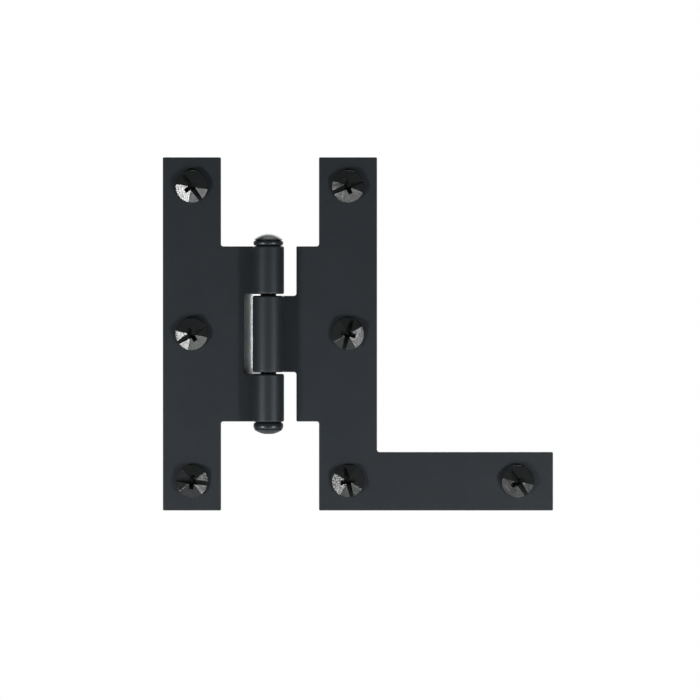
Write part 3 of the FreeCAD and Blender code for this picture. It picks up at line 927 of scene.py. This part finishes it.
def paper_with_painted_shadow(look, start):
    """Paper seen from its front alone, with a painted shadow: grey at the left where the leaf's edge shades it,
    lightening to white to the right from one place, and a painted light glowing where it is white; the lamps' real
    shadows fall on it as well.
    """
    paper, tree, shader = plain_paper("notch_paper")
    nodes, join = tree.nodes, tree.links.new
    place = nodes.new("ShaderNodeTexCoord")
    split = nodes.new("ShaderNodeSeparateXYZ")
    join(place.outputs["Object"], split.inputs["Vector"])
    # Painted shadow: the card's colour goes from the shadow's grey at the notch's edge to white towards the right
    across = spread(tree, split.outputs["X"], start, start + look.card_shadow_width)
    tone = nodes.new("ShaderNodeValToRGB")
    tones = tone.color_ramp.elements
    tones[0].color = (*look.card_shadow_colour, 1)
    tones[1].color = WHITE
    tones.new(look.card_half_shadow_place).color = (*look.card_half_shadow_colour, 1)
    join(across, tone.inputs["Fac"])
    join(tone.outputs["Color"], shader.inputs["Base Color"])
    # Painted light: the card glows more towards the right, where the lamp's light gets past the leaf
    glow = reckon(tree, "MULTIPLY", reckon(tree, "POWER", across, look.card_painted_light_onset), look.card_painted_light)
    join(glow, shader.inputs["Emission Strength"])
    face = nodes.new("ShaderNodeNewGeometry")
    clear = nodes.new("ShaderNodeBsdfTransparent")
    choice = nodes.new("ShaderNodeMixShader")
    join(face.outputs["Backfacing"], choice.inputs["Fac"])
    join(shader.outputs["BSDF"], choice.inputs[1])
    join(clear.outputs["BSDF"], choice.inputs[2])
    join(choice.outputs["Shader"], nodes["Material Output"].inputs["Surface"])
    return paper


def lay_floor(look, target):
    """The pale floor below the hinge."""
    put_down()
    bpy.ops.mesh.primitive_plane_add(size=look.floor_size, location=(target.x, target.y, -look.floor_drop))
    floor = added("floor")
    floor.data.materials.append(pale_paper(look))


def stand_card(look, leaf):
    """The card behind the notch round the middle knuckle, which carries a painted shadow and a painted light."""
    put_down()
    bpy.ops.mesh.primitive_plane_add(size=1, rotation=UPRIGHT)
    bpy.context.object.scale = (PIN_AXIS.x - leaf.frame_notch, 2 * CARD_SPARE * leaf.notch, 1)
    bpy.context.object.location = ((PIN_AXIS.x + leaf.frame_notch) / 2 - CARD_LEFT, CARD_BACK, 0)
    card = added("notch_paper")
    card.data.materials.append(paper_with_painted_shadow(look, leaf.frame_notch))


def towards(azimuth, rise, distance, target):
    """A point at a distance from the target: azimuth from straight in front, positive to the right."""
    turned, raised = math.radians(azimuth), math.radians(rise)
    level = math.cos(raised)
    return target + distance * Vector((math.sin(turned) * level, -math.cos(turned) * level, math.sin(raised)))


def aim(thing, target):
    """Points a camera or a lamp at a place."""
    thing.rotation_euler = (target - thing.location).to_track_quat("-Z", "Y").to_euler()


def set_camera(look, target):
    """The camera, a little above the level."""
    put_down()
    bpy.ops.object.camera_add(location=towards(0, math.degrees(look.rise), look.reach, target))
    camera = bpy.context.object
    camera.name = "camera"
    aim(camera, target)
    camera.data.lens = look.lens
    camera.data.clip_start = 0.01
    bpy.context.scene.camera = camera


def soft_lamp(name, power, target, azimuth, rise, distance, width, height):
    """A soft box that faces the hinge and isn't seen itself."""
    put_down()
    bpy.ops.object.light_add(type="AREA", location=towards(azimuth, rise, distance, target))
    lamp = bpy.context.object
    lamp.name = lamp.data.name = name
    lamp.data.shape = "RECTANGLE"
    lamp.data.size, lamp.data.size_y = width, height
    lamp.data.energy = power
    lamp.visible_camera = False
    aim(lamp, target)


class HINGE_OT_stage(bpy.types.Operator):
    """Set the camera, the white surround, the floor, the card behind the notch with its painted shadow and light, and
    the soft lamps
    """

    bl_idname = "hinge.stage"
    bl_label = "Stage"

    def execute(self, context):
        scene = context.scene
        look = scene.hinge_stage
        target = Vector(look.target)
        set_camera(look, target)
        scene.world = scene.world or bpy.data.worlds.new("surround")
        surround(scene.world, look.fill)
        lay_floor(look, target)
        stand_card(look, scene.hinge_leaf)
        for name, place in LAMPS.items():
            soft_lamp("lamp_" + name, getattr(look, name), target, *place)
        scene.view_settings.view_transform = "Standard"
        put_down()
        return {"FINISHED"}


# Sidebar


class HINGE_PT_panel(bpy.types.Panel):
    """Lists the pieces, the sizes and the looks"""

    bl_idname = "HINGE_PT_panel"
    bl_label = "Cabinet hinge"
    bl_space_type = "VIEW_3D"
    bl_region_type = "UI"
    bl_category = "Hinge"

    def draw(self, context):
        for operator in OPERATORS:
            self.layout.operator(operator.bl_idname)
        for attribute, group in GROUPS.items():
            box = self.layout.box()
            box.label(text=group.__doc__)
            for name in group.__annotations__:
                box.prop(getattr(context.scene, attribute), name)


GROUPS = {
    "hinge_leaf": LeafSizes,
    "hinge_pin": PinSizes,
    "hinge_screw": ScrewSizes,
    "hinge_paint": PaintLook,
    "hinge_stage": StageLook,
}
OPERATORS = (
    HINGE_OT_frame_leaf,
    HINGE_OT_door_leaf,
    HINGE_OT_pin,
    HINGE_OT_screws,
    HINGE_OT_stage,
)


def register():
    for group in (*GROUPS.values(), *OPERATORS, HINGE_PT_panel):
        bpy.utils.register_class(group)
    for attribute, group in GROUPS.items():
        setattr(bpy.types.Scene, attribute, PointerProperty(type=group))


def unregister():
    for attribute in GROUPS:
        delattr(bpy.types.Scene, attribute)
    for group in reversed((*GROUPS.values(), *OPERATORS, HINGE_PT_panel)):
        bpy.utils.unregister_class(group)


def main():
    """Makes every piece and the stage."""
    register()
    bpy.ops.hinge.frame_leaf()
    bpy.ops.hinge.door_leaf()
    bpy.ops.hinge.pin()
    bpy.ops.hinge.screws()
    bpy.ops.hinge.stage()


if __name__ == "__main__":
    main()
